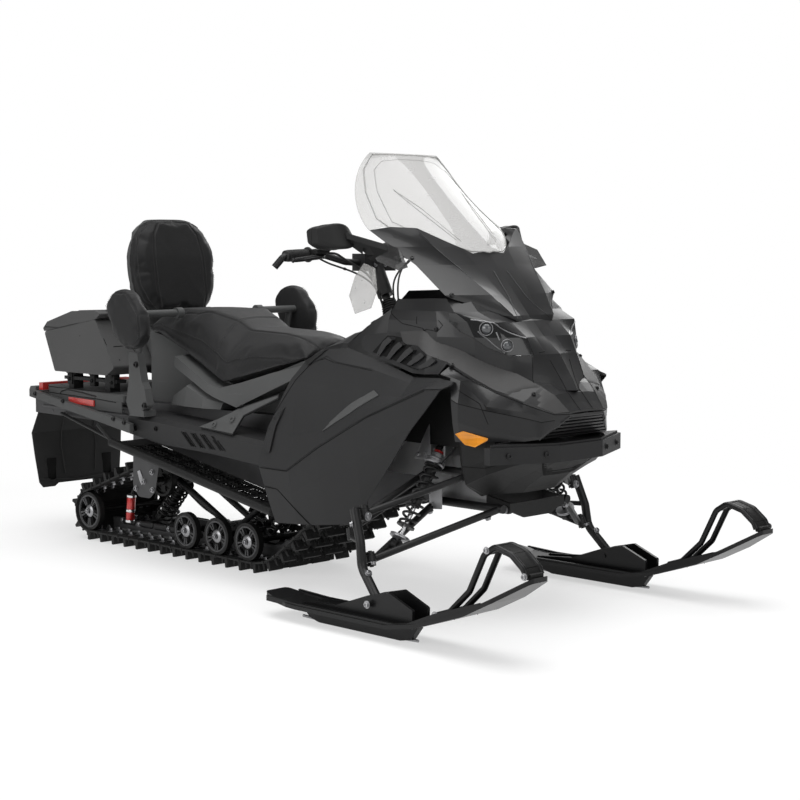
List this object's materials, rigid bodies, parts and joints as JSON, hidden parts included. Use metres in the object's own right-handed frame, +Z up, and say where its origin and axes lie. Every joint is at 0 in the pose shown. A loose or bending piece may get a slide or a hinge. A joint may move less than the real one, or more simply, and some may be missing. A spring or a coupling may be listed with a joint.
{
  "type": "two-up touring snowmobile",
  "caption": "Touring snowmobile with a driven rubber track, two steered skis, tall screen, two-up seat with backrest and a hinged cargo box.",
  "frame": {"origin": "on the ground under the middle of the machine", "axes": "-Y forward, +X to the rider's left, +Z up"},
  "size_m": [1.223, 2.89, 1.4043],
  "materials": {
    "panel_plastic": "moulded, fine grain",
    "panel_grey": "moulded, fine grain",
    "gloss_black": "gloss moulded",
    "stripe_grey": "satin",
    "box_grey": "moulded, light grain",
    "vinyl": "grained seat vinyl",
    "clear_screen": "clear moulded sheet",
    "lamp_lens": "smoked clear lens",
    "amber_lens": "prismatic reflector",
    "red_lens": "moulded lens",
    "black_steel": "powder coat",
    "alloy": "brushed, bare",
    "dark_alloy": "anodised",
    "track_rubber": "moulded rubber",
    "grip_rubber": "ribbed",
    "flap_rubber": "sheet rubber",
    "wheel_plastic": "moulded",
    "ski_plastic": "moulded, low friction",
    "shock_red": "gloss",
    "engine_metal": "cast"
  },
  "bodies": {
    "chassis": {"backrest": "vinyl", "backrest_frame": "panel_grey", "belly_pan": "panel_plastic", "bogie_wheels": "wheel_plastic", "cargo_box": "box_grey", "cargo_rack": "panel_plastic", "carrier_wheels": "wheel_plastic", "console": "panel_plastic", "drive_axle": "black_steel", "engine": "engine_metal", "front_bumper": "panel_plastic", "front_frame": "alloy", "front_shock_left": "black_steel", "front_shock_right": "black_steel", "grille": "gloss_black", "headlights": "lamp_lens", "hood": "stripe_grey", "lower_arm_left": "black_steel", "lower_arm_right": "black_steel", "mirrors": "panel_plastic", "nose_cowl": "gloss_black", "passenger_bracket_left": "panel_grey", "passenger_bracket_right": "panel_grey", "passenger_pad_left": "vinyl", "passenger_pad_right": "vinyl", "rear_bumper": "panel_grey", "rear_deck": "panel_grey", "rear_wheels": "wheel_plastic", "running_board_left": "dark_alloy", "running_board_right": "dark_alloy", "seat": "vinyl", "seat_base": "panel_grey", "side_panel_left": "panel_plastic", "side_panel_right": "panel_plastic", "side_reflectors": "amber_lens", "side_skirt_left": "panel_plastic", "side_skirt_right": "panel_plastic", "skid_arms": "black_steel", "skid_shocks": "shock_red", "slide_rails": "dark_alloy", "snow_flap": "flap_rubber", "tail_lights": "red_lens", "track": "track_rubber", "tunnel": "dark_alloy", "upper_arm_left": "black_steel", "upper_arm_right": "black_steel", "windshield": "clear_screen", "windshield_base": "gloss_black"},
    "steering_head": {"handlebar": "black_steel", "hand_grips": "grip_rubber", "bar_controls": "panel_plastic"},
    "lid": {"cargo_lid": "box_grey"},
    "right_ski": {"spindle_right": "black_steel", "ski_right": "ski_plastic", "ski_loop_right": "ski_plastic"},
    "right_tie_rod": {"tie_rod_right": "black_steel"},
    "left_ski": {"spindle_left": "black_steel", "ski_left": "ski_plastic", "ski_loop_left": "ski_plastic"},
    "left_tie_rod": {"tie_rod_left": "black_steel"}
  },
  "joints": [
    {"name": "steering", "type": "hinge", "parent": "chassis", "child": "steering_head", "pos_m": [0, -0.33, 0.95], "axis": [0, 0.454, 0.891], "range_deg": [-34, 34]},
    {"name": "lid_hinge", "type": "hinge", "parent": "chassis", "child": "lid", "pos_m": [0, 0.868, 0.862], "axis": [1, 0, 0], "range_deg": [0, 70]},
    {"name": "right_kingpin", "type": "hinge", "parent": "chassis", "child": "right_ski", "pos_m": [-0.488, -0.758, 0.203], "axis": [0.0734, 0.2643, 0.9617], "range_deg": [-25.5, 25.5]},
    {"name": "right_tie_rod_end", "type": "hinge", "parent": "right_ski", "child": "right_tie_rod", "pos_m": [-0.48261, -0.6666, 0.27359], "axis": [0.0734, 0.2643, 0.9617], "range_deg": [-25.5, 25.5]},
    {"name": "left_kingpin", "type": "hinge", "parent": "chassis", "child": "left_ski", "pos_m": [0.488, -0.758, 0.203], "axis": [-0.0734, 0.2643, 0.9617], "range_deg": [-25.5, 25.5]},
    {"name": "left_tie_rod_end", "type": "hinge", "parent": "left_ski", "child": "left_tie_rod", "pos_m": [0.48261, -0.6666, 0.27359], "axis": [-0.0734, 0.2643, 0.9617], "range_deg": [-25.5, 25.5]}
  ],
  "couplings": [
    {"joint": "right_kingpin", "follows": "steering", "ratio": 0.75},
    {"joint": "right_tie_rod_end", "follows": "steering", "ratio": -0.75},
    {"joint": "left_kingpin", "follows": "steering", "ratio": 0.75},
    {"joint": "left_tie_rod_end", "follows": "steering", "ratio": -0.75}
  ]
}
